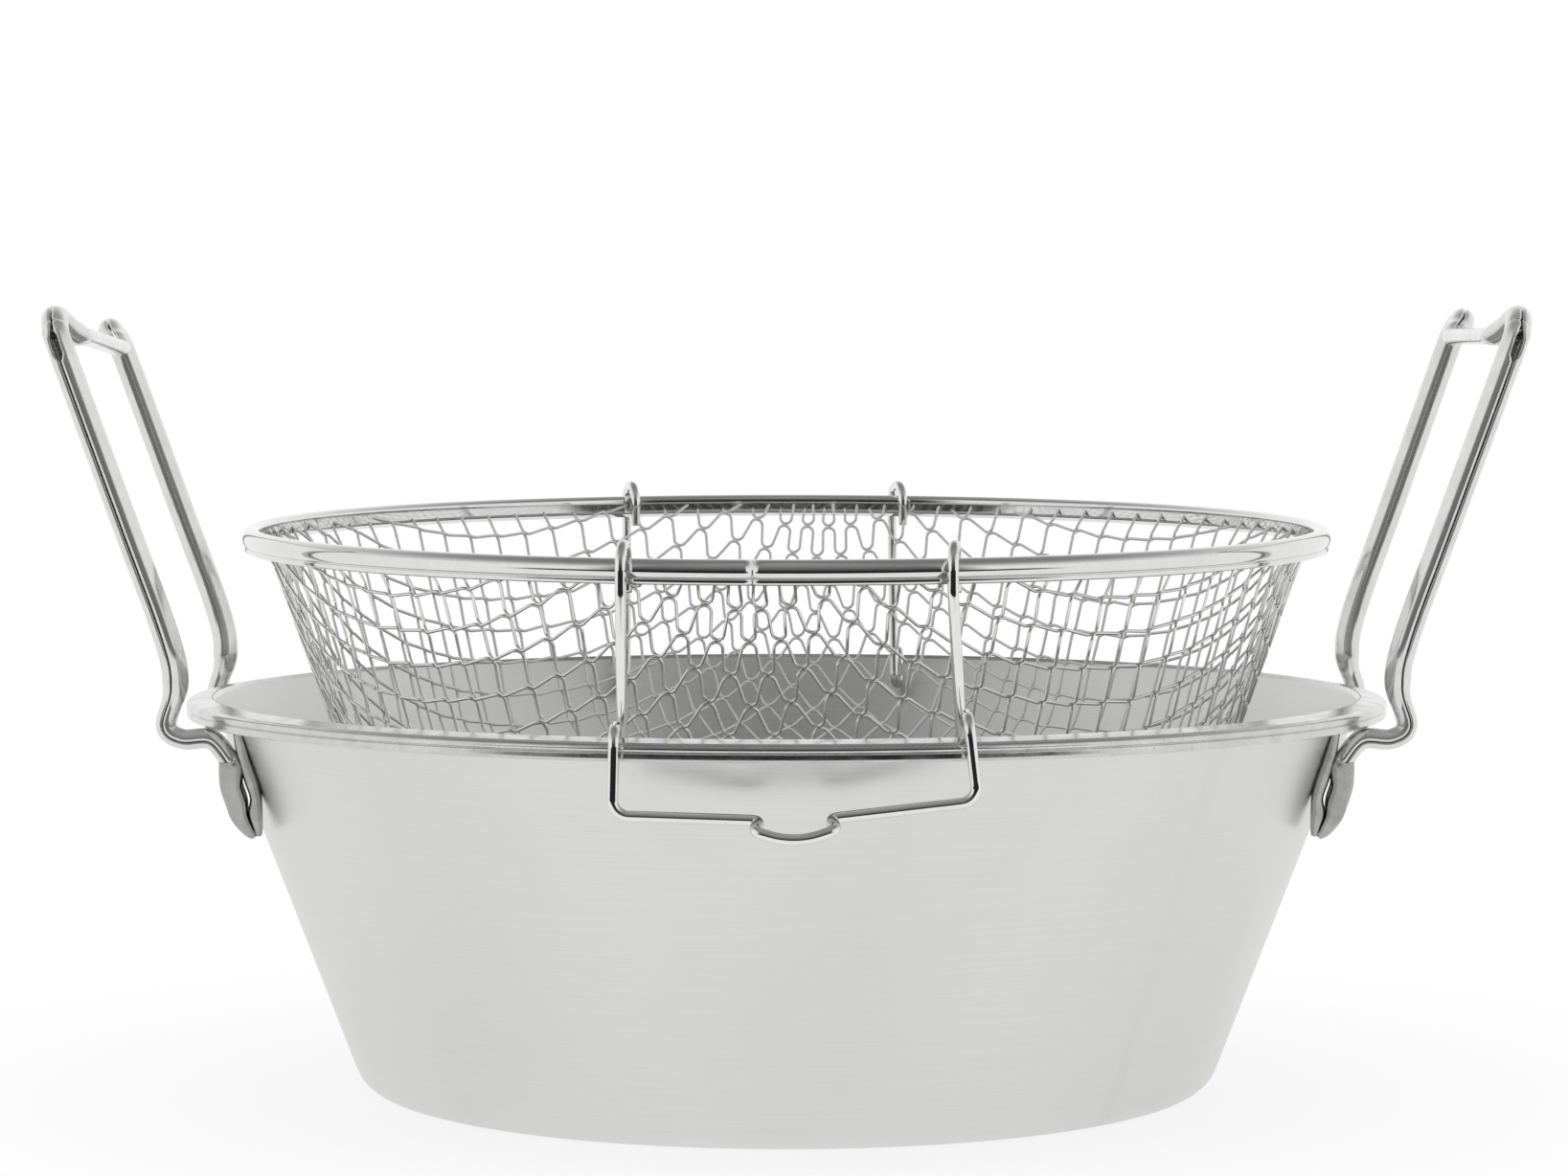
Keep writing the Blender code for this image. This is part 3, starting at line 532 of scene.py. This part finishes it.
net = {
    "topInset": 0.0072,
    "depth": 0.0620,
    "lean": radians(19.5),
    "cornerRadius": 0.0250,
    "topGap": 0.0039,       # from the ring's middle down to the net's own top edge
    "edge": 0.0050,         # flared out and tucked up into the ring
    "turn": radians(-4.0),
    "leg": 0.00869,         # from hook to hook
    "slant": radians(41.5),  # of the legs on the flat net
    "middle": (0.41, 0.60), # where the bowl's middle falls between the hooks
    "bend": 0.00155,        # the wires turn this tightly at a hook
    "hookGap": 0.0006,      # between the two wires there, as seen from outside
    "wire": 0.00078,
    "lift": 0.00040,        # each wire weaves this far in and out of the net's face
    "sides": 6,
    "unevenness": 0.00025,
}


def bowlProfile(distance):
    # Along the flat net: level, then an arc, then a leaning wall, then the edge that turns out into the ring.
    # Returns radius, height above the bowl's bottom, slope angle, and the distance where the edge begins.
    turn = pi / 2 - net["lean"]
    bend = net["cornerRadius"]
    top = ringRadius() - net["topInset"]
    flat = top - net["depth"] * tan(net["lean"]) - bend * tan(turn / 2)
    wallRun = net["depth"] / cos(net["lean"]) - bend * tan(turn / 2)
    reach = flat + bend * turn + wallRun
    angle = np.clip((distance - flat) / bend, 0, turn)
    run = np.clip(distance - flat - bend * turn, 0, wallRun)
    edge = np.maximum(distance - reach, 0)
    radius = np.minimum(distance, flat) + bend * np.sin(angle) + run * sin(net["lean"]) + edge * 0.707
    height = bend * (1 - np.cos(angle)) + run * cos(net["lean"]) + edge * 0.707
    slope = np.where(edge > 0, pi / 4, angle)
    return radius, height, slope, reach


def pressNet(u, v, lift):
    # A point of the flat net keeps its heading; its distance from the middle is laid along the bowl's profile,
    # and lift moves it along the bowl's inner normal
    distance = np.hypot(u, v)
    radius, height, slope = bowlProfile(distance)[:3]
    heading = np.arctan2(v, u) + net["turn"]
    radius = radius - np.sin(slope) * lift
    height = height + np.cos(slope) * lift
    height = height - net["topGap"] - net["depth"]
    points = np.stack([radius * np.cos(heading), radius * np.sin(heading), height], -1)
    normal = np.stack([-np.sin(slope) * np.cos(heading), -np.sin(slope) * np.sin(heading), np.cos(slope)], -1)
    return points, normal


def layQuarter(first, second):
    # Half legs of equal length laid out over the bowl from its middle: straight along two headings, and from
    # there each new point lies half a leg from two older ones. Newton's method solves a whole diagonal of points
    # at once, as complex numbers on the flat net.
    half, count, nudge = net["leg"] / 2, 46, 1e-6
    grid = np.zeros((count, count), complex)
    grid[:, 0] = np.arange(count) * half * np.exp(1j * first)
    grid[0] = np.arange(count) * half * np.exp(1j * second)
    onBowl = lambda place: pressNet(place.real, place.imag, 0)[0]
    for diagonal in range(2, 2 * count - 1):
        i = np.arange(max(1, diagonal - count + 1), min(count - 1, diagonal - 1) + 1)
        j = diagonal - i
        place = grid[i, j - 1] + grid[i - 1, j] - grid[i - 1, j - 1]
        older = np.stack([onBowl(grid[i, j - 1]), onBowl(grid[i - 1, j])])
        for attempt in range(6):
            here = onBowl(place)
            miss = np.sum((here - older) ** 2, axis=2) - half**2
            byU = 2 * np.sum((here - older) * (onBowl(place + nudge) - here) / nudge, axis=2)
            byV = 2 * np.sum((here - older) * (onBowl(place + 1j * nudge) - here) / nudge, axis=2)
            share = byU[0] * byV[1] - byV[0] * byU[1]
            move = (miss[0] * byV[1] - miss[1] * byV[0] + 1j * (byU[0] * miss[1] - byU[1] * miss[0])) / share
            place = place - move * np.minimum(1, half / 2 / np.maximum(np.abs(move), 1e-12))
        grid[i, j] = place
    return grid


def hookPlaces(m, n):
    # Each hook is m and n legs from the middle, along the two ways that legs run; opposite quarters are alike
    slant = net["slant"]
    front, side = layQuarter(-slant, pi + slant), layQuarter(pi + slant, pi - slant)

    def between(grid, p, q):
        i, j = (np.clip((2 * c).astype(int), 0, len(grid) - 2) for c in (p, q))
        s, t = 2 * p - i, 2 * q - j
        return (grid[i, j] * (1 - s) + grid[i + 1, j] * s) * (1 - t) + (
            grid[i, j + 1] * (1 - s) + grid[i + 1, j + 1] * s) * t

    a, b = m - net["middle"][0], n - net["middle"][1]
    ahead = between(front, np.abs(b), np.abs(a)) * np.where(b > 0, 1, -1)
    aside = between(side, np.abs(a), np.abs(b)) * np.where(a < 0, 1, -1)
    return np.where(a * b < 0, ahead, aside)


def netLines():
    # One row of hooks holds a wire's crests and the next row its troughs. At every hook the wire goes round a
    # small circle, and its straight legs touch the circles at both ends: asin(2 bend / distance) off the line
    # between them. All wires at once, (wire, hook, point), measured on the bowl, where the circles stay round.
    wires, hooks = np.arange(-30, 31)[:, None], np.arange(-50, 51)[None]
    m, n = (hooks + 1) // 2 + 0 * wires, hooks // 2 + wires
    chance = np.random.default_rng(11).uniform(-1, 1, (2, 130, 130)) * net["unevenness"]
    place = hookPlaces(m, n) + chance[0][m + 64, n + 64] + 1j * chance[1][m + 64, n + 64]
    size = lambda values: np.maximum(np.abs(values), 1e-12)
    squeeze = lambda spot: bowlProfile(np.abs(spot))[0] / size(spot)

    def toBowl(values, spot):
        values = values * np.conj(spot) / size(spot)
        return values.real + 1j * values.imag * squeeze(spot)

    def toFlat(values, spot):
        return (values.real + 1j * values.imag / squeeze(spot)) * spot / size(spot)

    spot = place[:, 1:-1]
    back, onwards = toBowl(place[:, :-2] - spot, spot), toBowl(place[:, 2:] - spot, spot)
    inwards = back / size(back) + onwards / size(onwards)
    inwards = inwards / size(inwards)
    centre = spot + toFlat(inwards * (net["bend"] + net["hookGap"] / 2), spot)
    leg = toBowl(np.diff(centre), (centre[:, 1:] + centre[:, :-1]) / 2)
    sine = np.minimum(2 * net["bend"] / size(leg), 0.95)
    leg = leg / size(leg)
    aside = 1j * leg * np.where((inwards[:, :-1] * np.conj(1j * leg)).real < 0, 1, -1)
    touch = leg * sine + aside * np.sqrt(1 - sine**2)
    start, top, end = -touch[:, :-1], -inwards[:, 1:-1], touch[:, 1:]
    arc = np.stack([start, 2 * start + top, start + 2 * top, top, end + 2 * top, 2 * end + top, end], -1)
    spot, middle = spot[:, 1:-1, None], centre[:, 1:-1, None]
    points = middle + toFlat(arc / size(arc) * net["bend"], spot)
    weave = np.array([-1, -0.85, -0.5, 0, 0.5, 0.85, 1]) * net["lift"]
    weave = np.broadcast_to(weave * np.where(hooks % 2 == 0, 1, -1)[0, 2:-2, None], points.shape)
    return wires[:, 0], points.reshape(len(wires), -1), weave.reshape(len(wires), -1)


def trimWire(flat, lift, reach):
    # The stretch of a wire inside the net's edge, with both ends cut exactly on it; what swings past the edge
    # between them is folded down on it
    distance = np.abs(flat)
    inside = np.flatnonzero(distance <= reach)
    if len(inside) < 6:
        return None
    first, last = inside[0], inside[-1]
    line = np.stack([flat.real, flat.imag, lift], -1)
    start = (distance[first - 1] - reach) / (distance[first - 1] - distance[first])
    end = (reach - distance[last]) / (distance[last + 1] - distance[last])
    head = line[first - 1] + (line[first] - line[first - 1]) * start
    tail = line[last] + (line[last + 1] - line[last]) * end
    line[:, :2] *= np.minimum(1, reach / distance)[:, None]
    return np.concatenate([[head], line[first:last + 1], [tail]])


def makeNet():
    wires, flat, lift = netLines()
    reach = bowlProfile(np.zeros(1))[3]
    section = circleSection(net["sides"], net["wire"] / 2)
    made = {"netWiresFront": [], "netWiresRear": []}
    for k, wire in enumerate(wires):
        line = trimWire(flat[k], lift[k], reach + net["edge"])
        if line is not None:
            made["netWiresFront" if wire > 0 else "netWiresRear"].append(line)
    for name, lines in made.items():
        allPoints, allQuads, caps, count = [], [], [], 0
        for line in lines:
            path, normal = pressNet(line[:, 0], line[:, 1], line[:, 2])
            points, quads = carried(path, normal, np.broadcast_to(section, (len(path), *section.shape)))
            allPoints.append(points)
            allQuads.append(quads + count)
            caps += [[c + count for c in cap] for cap in tubeCaps(len(path), net["sides"])]
            count += len(points)
        metal = netSteel if name == "netWiresFront" else farNetSteel
        piece = makePiece(name, tiltBasket(np.concatenate(allPoints)), np.concatenate(allQuads), metal,
                          "basket", ["basket_net"], caps)
        print("  ", name, len(lines), "wires,", 2 * len(piece.data.polygons), "triangles")


makeNet()
print("stage: basket net")


# Basket handles: bent wire with an eye and a hook at each side and a dip in the grip

basketHandle = {
    "wire": 0.0025,
    "eyeSpread": 0.0720,
    "eyeTail": 0.0055,
    "eyeBend": 0.94,         # share of the eye's radius
    "hookLowRadius": 0.0022,
    "hookDepth": 0.0050,
    "hookBend": 0.98,        # share of the low turn's radius
    "hookInnerGap": 0.0032,
    "hookOuterGap": 0.0005,
    "bend": 0.0034,
    "dipWidth": 0.0190,
    "dipBulge": 0.0026,      # how much wider the dip is than the gap between the bar's two ends
    "dipDepth": 0.0042,      # below the bar's ends
    "dipReach": 0.0066,      # out from the pot
    "dipFlank": (0.70, 0.40),         # share of that reach and depth at the dip's sides
    "dipMiddle": 1.1,                 # share of the depth at its middle
    "dipBends": (0.0014, 0.0020, 0.0160, 0.0020, 0.0014),
    "seatGap": 0.0003,
    "sides": 16,
    "grain": (0.6, -0.75, 0.3),   # a direction that the wire never runs along
}

# Each leg: X of its hook, height of the hook over the rim, drop of the bar's end below the rim, how far inside
# the hook's X the leg stands, and how far the outer leg leans aside
handleShapes = {
    "front": {"side": -1, "turn": 0.0, "eyeShift": 0.0010, "dipShift": 0.0018, "shoulders": (0.0786, 0.0790),
              "legs": ((-0.0370, 0.0008, 0.0159, 0.0012, -0.0004), (0.0389, 0.0034, 0.0129, 0.0004, 0.0020))},
    "rear": {"side": 1, "turn": radians(3.2), "eyeShift": 0.0022, "dipShift": 0.0,
             "shoulders": (0.0800, 0.0800),
             "legs": ((-0.0380, 0.0, 0.0145, 0.0017, 0.0), (0.0380, 0.0, 0.0145, 0.0017, 0.0))},
}


def ringMiddle():
    return ringRadius() - ring["width"] / 2


def eyeRadius():
    # Clear of the ring's rounded section however the eye turns on it
    slope = basketHandle["eyeSpread"] / 2 / ringMiddle()
    reach = hypot(ring["width"] / 2 - 0.0018, ring["height"] / 2 - 0.0018) + 0.0018
    return reach / cos(asin(slope)) + basketHandle["wire"] / 2 * (1 + slope) + basketHandle["seatGap"]


def eyeAxis(side):
    distance = side * sqrt(ringMiddle() ** 2 - (basketHandle["eyeSpread"] / 2) ** 2)
    return np.array([0, distance * cos(ring["tilt"]), ringLevel() + distance * sin(ring["tilt"])])


def handleLeg(axis, hand, eyeShift, leg):
    # Tail, eye round the ring, down inside the rim, up and over it, and the outer leg
    h = basketHandle
    hookX, hookRise, drop, inset, lean = leg
    wire, radius = h["wire"] / 2, eyeRadius()
    eyeX = hand * h["eyeSpread"] / 2
    riseY = -(sqrt(mouthRadius() ** 2 - hookX**2) - h["hookInnerGap"] - wire)
    dropY = riseY + 2 * h["hookLowRadius"]
    outerY = -sqrt((rimRadius() + h["hookOuterGap"] + wire) ** 2 - hookX**2)
    top = pot["height"] + h["seatGap"] + wire + hookRise
    low = pot["height"] - h["hookDepth"] - h["hookLowRadius"]
    corners = [
        axis + (eyeX + eyeShift, radius, -h["eyeTail"]),
        axis + (eyeX + eyeShift, radius, radius),
        axis + (eyeX, -radius, radius),
        axis + (eyeX, -radius, -radius),
        (hookX - hand * inset, dropY, low),
        (hookX, riseY, low),
        (hookX, riseY, top),
        (hookX, outerY, top),
        (hookX + lean, outerY, pot["height"] - drop),
    ]
    eyeBend, hookBend = radius * h["eyeBend"], h["hookLowRadius"] * h["hookBend"]
    return corners, [eyeBend, eyeBend, radius, hookBend, hookBend, h["bend"], h["bend"]]


def handleLine(shape):
    # The grip bar dips in its middle: its ends turn back on themselves into a shallow bow that stands out and
    # down
    h = basketHandle
    axis = eyeAxis(-1)
    axis[2] = eyeAxis(shape["side"])[2]
    left, leftBends = handleLeg(axis, -1, shape["eyeShift"], shape["legs"][0])
    right, rightBends = handleLeg(axis, 1, shape["eyeShift"], shape["legs"][1])
    middle, barY = shape["dipShift"], (left[-1][1] + right[-1][1]) / 2
    leftZ, rightZ = shape["shoulders"]
    half, wide, reach = h["dipWidth"] / 2 - h["dipBulge"], h["dipWidth"] / 2, h["dipReach"]
    flankY, flankDrop = barY - reach * h["dipFlank"][0], h["dipDepth"] * h["dipFlank"][1]
    dip = [
        (middle - half, barY, leftZ),
        (middle - wide, flankY, leftZ - flankDrop),
        (middle, barY - reach, (leftZ + rightZ) / 2 - h["dipDepth"] * h["dipMiddle"]),
        (middle + wide, flankY, rightZ - flankDrop),
        (middle + half, barY, rightZ),
    ]
    bends = leftBends + [h["bend"], *h["dipBends"], h["bend"]] + rightBends[::-1]
    return evenLine(roundedLine(left + dip + right[::-1], bends, 10), 0.0006)


def makeBasketHandle(name, shape, body, node):
    # A round wire, made in front and carried round to the rear where it belongs there
    line = handleLine(shape)
    section = circleSection(basketHandle["sides"], basketHandle["wire"] / 2)
    sections = np.broadcast_to(section, (len(line), *section.shape))
    points, quads = carried(line, np.array(basketHandle["grain"]), sections)
    if shape["side"] > 0:
        x, y, turn = points[:, 0], -points[:, 1], shape["turn"]
        points = np.stack([x * cos(turn) - y * sin(turn), x * sin(turn) + y * cos(turn), points[:, 2]], -1)
    caps = tubeCaps(len(line), basketHandle["sides"])
    makePiece(name, points, quads, wireSteel, body, [node], caps)


makeBasketHandle("wireHandleFront", handleShapes["front"], "front_handle", "basket_handle_front")
makeBasketHandle("wireHandleRear", handleShapes["rear"], "rear_handle", "basket_handle_rear")
print("stage: basket handles")


# Pot handles: steel strip rolled into a tube with an open seam

potHandle = {
    "tube": 0.0062,
    "strip": 0.0008,
    "rise": 0.0940,
    "spreadFoot": 0.0880,
    "spreadRim": 0.0990,
    "spreadTop": 0.1070,
    "earOut": 0.0252,
    "earRadius": 0.0085,
    "neck": (0.0028, 0.0054),       # in from the rim's edge, over the rim
    "straight": (0.0009, 0.0169),
    "loopGap": 0.0046,
    "loopDrop": 0.0040,
    "loopLow": (0.0042, 0.0001),
    "underRimGap": 0.0004,
    "barSag": 0.0040,
    "barInset": 0.0037,
    "barHeight": 0.0041,
    "barPoints": (2.35, 3.2),       # steering points of the bar, in ear radii from the ear's top
    "barReach": 0.0365,             # half the length of the flattened bar
    "barBlend": 0.0040,
    "lowShare": 0.78,               # width of the tube below the rim's top
    "narrowRise": (0.001, 0.005),   # over the rim's top, where it starts to widen and over which height
    "insert": 0.0032,
    "socketDiameter": 0.0080,
    "socketDrop": 0.0126,
    "socketLength": 0.0190,
    "wallGap": 0.0003,
    "seam": 0.0006,
    "seamOpen": 0.0026,
    "seamTurn": radians(15),
    "seamRise": (0.010, 0.010),     # over the rim's top, where the seam turns to the front and over which height
    "gapeDrop": 0.0096,             # the seam gapes this far below the handle's top
    "gapeReach": 0.0027,
    "spacing": 0.0007,
    "arcSteps": 26,
}


def footLine(side):
    # Where the foot begins and ends on the wall
    h = potHandle
    top = pot["height"] - h["socketDrop"]
    away = (h["socketDiameter"] / 2 + h["wallGap"]) / cos(pot["lean"])
    ends = (top, h["spreadRim"] / 2), (top - h["socketLength"], h["spreadFoot"] / 2)
    return [rimPoint(wallRadius(height) + away, side * y, height) for height, y in ends]


def rimPoint(reach, y, height):
    # The point at this distance from the pot's axis
    return np.array([sqrt(reach**2 - y**2), y, height])


def legLine(side, drop):
    # Points that steer one leg of the +X handle, from its foot to the start of the crossbar
    h = potHandle
    top, rim, radius, ear = pot["height"], rimRadius(), h["tube"] * h["lowShare"] / 2, h["earRadius"]
    rimY, topY = side * h["spreadRim"] / 2, side * h["spreadTop"] / 2
    underZ = top - pot["rimHeight"] - h["underRimGap"] - radius
    mouth, lowEnd = footLine(side)
    footEnd = mouth + (lowEnd - mouth) * h["insert"] / h["socketLength"]
    neck = np.array([rim - h["neck"][0], rimY, top + h["neck"][1]])
    straight = np.array([rim - h["straight"][0], rimY + (topY - rimY) * 0.4, top + h["straight"][1]])
    earTop = np.array([rim + h["earOut"], topY, top + h["rise"] - h["tube"] / 2 - drop])
    base = earTop + (straight - earTop) * ear / (earTop[2] - straight[2])
    base[1] = topY
    across, bow = np.array([0, -side * ear, 0]), 1 - cos(pi / 4)
    shoulder = earTop + (base - earTop) * bow + across * bow
    bar = [earTop + across * share - (h["barInset"], 0, h["barSag"]) for share in h["barPoints"]]
    farShoulder = shoulder + across * 2 * cos(pi / 4)
    farShoulder[0] = (earTop[0] + bar[0][0]) / 2
    underRim = [rimPoint(rim - pot["rimHeight"] / 2, rimY, underZ),
                rimPoint(rim + h["loopLow"][0], rimY, underZ + h["loopLow"][1]),
                rimPoint(rim + h["loopGap"] + h["tube"] / 2, rimY, top - h["loopDrop"])]
    upright = [neck, straight, straight + (base - straight) * 0.4, base]
    return [footEnd, mouth, mouth + (mouth - footEnd) * 0.15, *underRim, *upright,
            shoulder, earTop + across, farShoulder, *bar]


def stripCaps(rows, columns):
    # The cut faces at both ends of a strip that is rolled up, as quads between its outer and inner arc
    caps = [[i, i + 1, columns - 2 - i, columns - 1 - i] for i in range(columns // 2 - 1)]
    last = (rows - 1) * columns
    return caps + [[last + corner for corner in cap[::-1]] for cap in caps]


def makePotHandle(name, outward, rearDrop, node):
    # An open ring section: outer arc from one lip of the seam to the other, then back along the inner arc
    h = potHandle
    line = evenLine(throughPoints(legLine(-1, 0) + legLine(1, rearDrop)[::-1], 14), h["spacing"])
    rise, fromFront = line[:, 2] - pot["height"], np.abs(line[:, 1])
    seamStart, seamOver = h["seamRise"]
    high = np.clip((rise - seamStart) / seamOver, 0, 1)[:, None]
    aside = np.where(line[:, 1:2] < 0, -1, 1) * np.array([0, 1.0, 0])
    towards = unit(unit(np.cross([1.0, 0, 0], tangents(line))) * high + aside * (1 - high))
    # the seam gapes where the tube bends into the ears
    gape = np.exp(-(((rise - (h["rise"] - h["gapeDrop"])) / h["gapeReach"]) ** 8))
    gape = gape * (fromFront > h["spreadTop"] / 2 - 0.004)
    halfSeam = (h["seam"] + gape * (h["seamOpen"] - h["seam"])) / h["tube"]
    wideStart, wideOver = h["narrowRise"]
    narrow = h["lowShare"] + (1 - h["lowShare"]) * np.clip((rise - wideStart) / wideOver, 0, 1)
    onBar = np.clip((h["barReach"] - fromFront) / h["barBlend"], 0, 1) * high[:, 0]
    flat = 1 - (1 - h["barHeight"] / h["tube"]) * onBar
    angle = halfSeam[:, None] + np.linspace(0, 1, h["arcSteps"]) * 2 * (pi - halfSeam[:, None])
    arc = np.stack([np.cos(angle), np.sin(angle)], -1)
    section = np.concatenate([arc * h["tube"] / 2, arc[:, ::-1] * (h["tube"] / 2 - h["strip"])], axis=1)
    a, b = cos(h["seamTurn"]), sin(h["seamTurn"])
    x, y = section[..., 0], section[..., 1]
    spun = np.stack([x * a - y * b, x * b + y * a], -1) * narrow[:, None, None]
    spun[..., 0] *= flat[:, None]
    points, quads = carried(line, towards, spun)
    points = points * (outward, 1, 1)
    caps = stripCaps(len(line), 2 * h["arcSteps"])
    makePiece(name, points, quads, stripSteel, "pot", [node], caps)


makePotHandle("rolledHandleLeft", -1, 0.0025, "pot_handle_left")
makePotHandle("rolledHandleRight", 1, 0, "pot_handle_right")
print("stage: pot handles")


# Feet: below the rim the strip is split into two lobes that are pinched together where they are welded on

# Each lobe: how far down the foot line, its near and far edge from that line, and its half depth (the last
# three in millimetres)
foot = {
    "strip": 0.0008,
    "halfArc": radians(150),
    "outerLobe": [(-0.04, -2.45, 2.6, 2.55), (0.08, -2.5, 3.3, 2.9), (0.27, -1.0, 4.35, 2.8),
                  (0.48, -0.8, 4.5, 2.6), (0.66, 0.0, 4.4, 2.2), (0.85, -0.1, 2.9, 1.5), (0.94, -0.5, 1.3, 1.0)],
    "wallLobe": [(-0.32, 2.9, 4.7, 0.9), (-0.12, 2.2, 4.7, 1.5), (0.05, 1.9, 4.7, 2.0), (0.27, 1.8, 4.8, 2.3),
                 (0.48, 1.7, 4.4, 2.2), (0.66, 0.1, 3.4, 1.9), (0.85, 0.0, 2.2, 1.3), (0.94, -0.1, 1.4, 0.9)],
}


def makeLobe(stations, away):
    # An open ring section along the foot line, its open side towards the other lobe
    mouth, lowEnd = footLine(-1)
    place = throughPoints(stations, 6) * (1, 0.001, 0.001, 0.001)
    forward = unit(lowEnd - mouth)
    outwards = unit(np.array([1.0, 0, 0]) - forward * forward[0]) * away
    closing = 1 - cos(foot["halfArc"])
    radius = (place[:, 2] - place[:, 1]) / closing
    line = mouth + (lowEnd - mouth) * place[:, :1] + outwards * (place[:, 2] - radius)[:, None]
    strip = np.minimum(foot["strip"], radius * 0.45)
    angle = np.linspace(-foot["halfArc"], foot["halfArc"], 20)
    arc = np.stack([np.cos(angle), np.sin(angle)], -1)
    outer = np.stack([radius, place[:, 3]], -1)[:, None] * arc
    inner = np.stack([radius - strip, place[:, 3] - strip], -1)[:, None] * arc[::-1]
    points, quads = carried(line, outwards, np.concatenate([outer, inner], axis=1))
    return points, quads, stripCaps(len(line), 2 * len(angle))


def makeFoot(name, outward, side, node):
    points, quads, caps = makeLobe(foot["outerLobe"], 1)
    morePoints, moreQuads, moreCaps = makeLobe(foot["wallLobe"], -1)
    caps = caps + [[len(points) + corner for corner in cap] for cap in moreCaps]
    points, quads = np.concatenate([points, morePoints]), np.concatenate([quads, moreQuads + len(points)])
    makePiece(name, points * (outward, -side, 1), quads, shadedFootSteel, "pot", [node], caps)


makeFoot("footLeftFront", -1, -1, "socket_left_front")
makeFoot("footLeftRear", -1, 1, "socket_left_rear")
makeFoot("footRightFront", 1, -1, "socket_right_front")
makeFoot("footRightRear", 1, 1, "socket_right_rear")
print("stage: feet")
